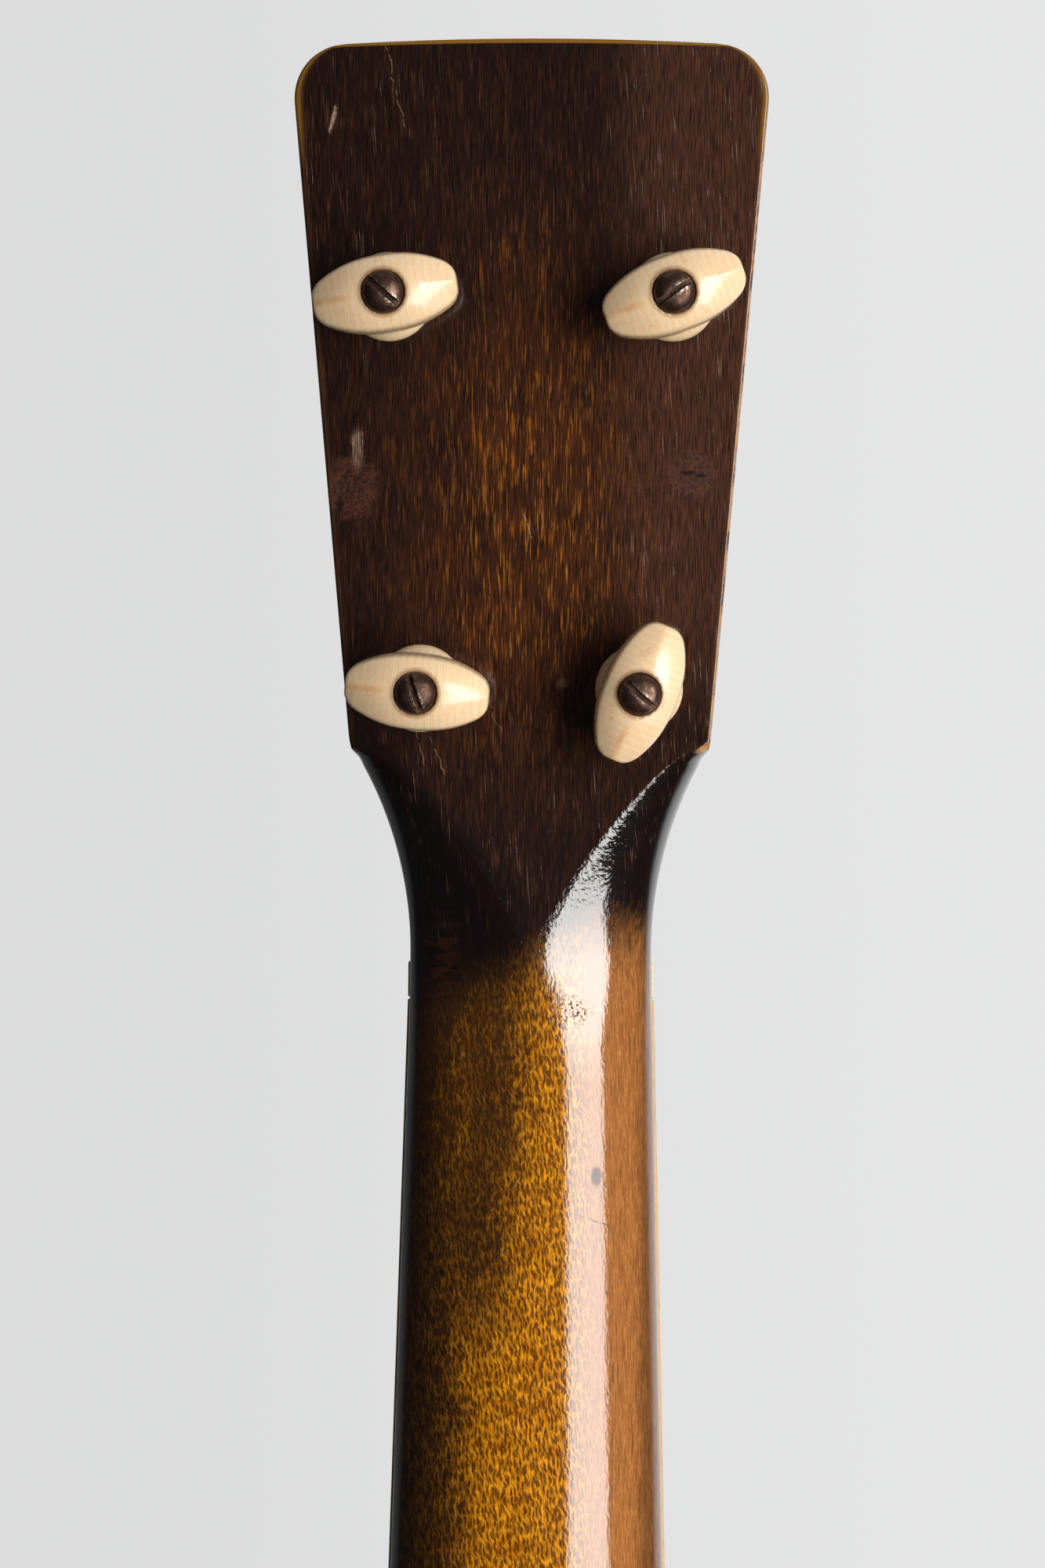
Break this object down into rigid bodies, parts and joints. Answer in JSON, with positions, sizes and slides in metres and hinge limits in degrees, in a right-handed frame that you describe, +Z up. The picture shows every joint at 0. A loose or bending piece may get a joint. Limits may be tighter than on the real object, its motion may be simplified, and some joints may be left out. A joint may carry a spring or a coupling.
{
  "type": "soprano ukulele",
  "caption": "Small waisted string instrument with a fan-shaped head, friction tuning pegs with eye-shaped buttons, a fretted neck and a hollow wooden body.",
  "frame": {"origin": "on the centre line, where the nut meets the playing face of the fingerboard, at the narrowest part of the neck where a wall hanger's yoke holds it", "axes": "+Z up the neck to the top of the head; -Y out of the back; +Y out of the strings; +X to the right as seen from the back"},
  "size_m": [0.169, 0.065, 0.5443],
  "materials": {
    "neck_wood": "gloss varnish over a dark sunburst stain",
    "fingerboard_wood": "dyed hardwood, oiled",
    "bridge_wood": "dyed hardwood, satin",
    "nut_bone": "polished bone",
    "saddle_bone": "polished bone",
    "fret_wire": "nickel silver, worn bright",
    "pearl": "mother-of-pearl",
    "ivoroid": "grained cream celluloid, polished",
    "post_metal": "nickel plated, dulled",
    "screw_steel": "browned and aged",
    "bushing_metal": "nickel plated",
    "gut": "smooth and translucent",
    "rib_wood": "gloss varnish over a dark stain",
    "back_wood": "gloss varnish over a sunburst stain",
    "top_wood": "gloss varnish over a sunburst stain",
    "inner_wood": "bare spruce",
    "binding": "cream celluloid",
    "rosette_inlay": "cream and black rings"
  },
  "bodies": {
    "instrument": {"neck": "neck_wood", "fingerboard": "fingerboard_wood", "nut": "nut_bone", "fret_01": "fret_wire", "fret_02": "fret_wire", "fret_03": "fret_wire", "fret_04": "fret_wire", "fret_05": "fret_wire", "fret_06": "fret_wire", "fret_07": "fret_wire", "fret_08": "fret_wire", "fret_09": "fret_wire", "fret_10": "fret_wire", "fret_11": "fret_wire", "fret_12": "fret_wire", "position_dot_5": "pearl", "position_dot_7": "pearl", "position_dot_10": "pearl", "front_bushing_1": "bushing_metal", "front_bushing_2": "bushing_metal", "front_bushing_3": "bushing_metal", "front_bushing_4": "bushing_metal", "string_1": "gut", "string_2": "gut", "string_3": "gut", "string_4": "gut", "bridge": "bridge_wood", "saddle": "saddle_bone", "top": "top_wood", "rosette": "rosette_inlay", "back": "back_wood", "front_binding": "binding", "back_binding": "binding", "left_rib": "rib_wood", "right_rib": "rib_wood", "left_front_lining": "inner_wood", "right_front_lining": "inner_wood", "left_back_lining": "inner_wood", "right_back_lining": "inner_wood", "neck_block": "inner_wood", "tail_block": "inner_wood", "heel_dowel": "inner_wood", "top_brace_1": "inner_wood", "top_brace_2": "inner_wood", "back_brace_1": "inner_wood", "back_brace_2": "inner_wood", "bridge_plate": "inner_wood"},
    "peg_1": {"peg_button_1": "ivoroid", "peg_post_1": "post_metal"},
    "screw_1": {"peg_screw_1": "screw_steel"},
    "peg_2": {"peg_button_2": "ivoroid", "peg_post_2": "post_metal"},
    "screw_2": {"peg_screw_2": "screw_steel"},
    "peg_3": {"peg_button_3": "ivoroid", "peg_post_3": "post_metal"},
    "screw_3": {"peg_screw_3": "screw_steel"},
    "peg_4": {"peg_button_4": "ivoroid", "peg_post_4": "post_metal"},
    "screw_4": {"peg_screw_4": "screw_steel"}
  },
  "joints": [
    {"name": "peg_turn_1", "type": "hinge", "parent": "instrument", "child": "peg_1", "pos_m": [-0.0195, -0.03496, 0.0946], "axis": [0, -0.9781, -0.2079], "continuous": true},
    {"name": "screw_turn_1", "type": "hinge", "parent": "peg_1", "child": "screw_1", "pos_m": [-0.0195, -0.03496, 0.0946], "axis": [0, -0.9781, -0.2079], "range_deg": [-45, 360]},
    {"name": "peg_turn_2", "type": "hinge", "parent": "instrument", "child": "peg_2", "pos_m": [0.0195, -0.03496, 0.0946], "axis": [0, -0.9781, -0.2079], "continuous": true},
    {"name": "screw_turn_2", "type": "hinge", "parent": "peg_2", "child": "screw_2", "pos_m": [0.0195, -0.03496, 0.0946], "axis": [0, -0.9781, -0.2079], "range_deg": [-45, 360]},
    {"name": "peg_turn_3", "type": "hinge", "parent": "instrument", "child": "peg_3", "pos_m": [-0.0152, -0.02375, 0.04187], "axis": [0, -0.9781, -0.2079], "continuous": true},
    {"name": "screw_turn_3", "type": "hinge", "parent": "peg_3", "child": "screw_3", "pos_m": [-0.0152, -0.02375, 0.04187], "axis": [0, -0.9781, -0.2079], "range_deg": [-45, 360]},
    {"name": "peg_turn_4", "type": "hinge", "parent": "instrument", "child": "peg_4", "pos_m": [0.0152, -0.02375, 0.04187], "axis": [0, -0.9781, -0.2079], "continuous": true},
    {"name": "screw_turn_4", "type": "hinge", "parent": "peg_4", "child": "screw_4", "pos_m": [0.0152, -0.02375, 0.04187], "axis": [0, -0.9781, -0.2079], "range_deg": [-45, 360]}
  ]
}
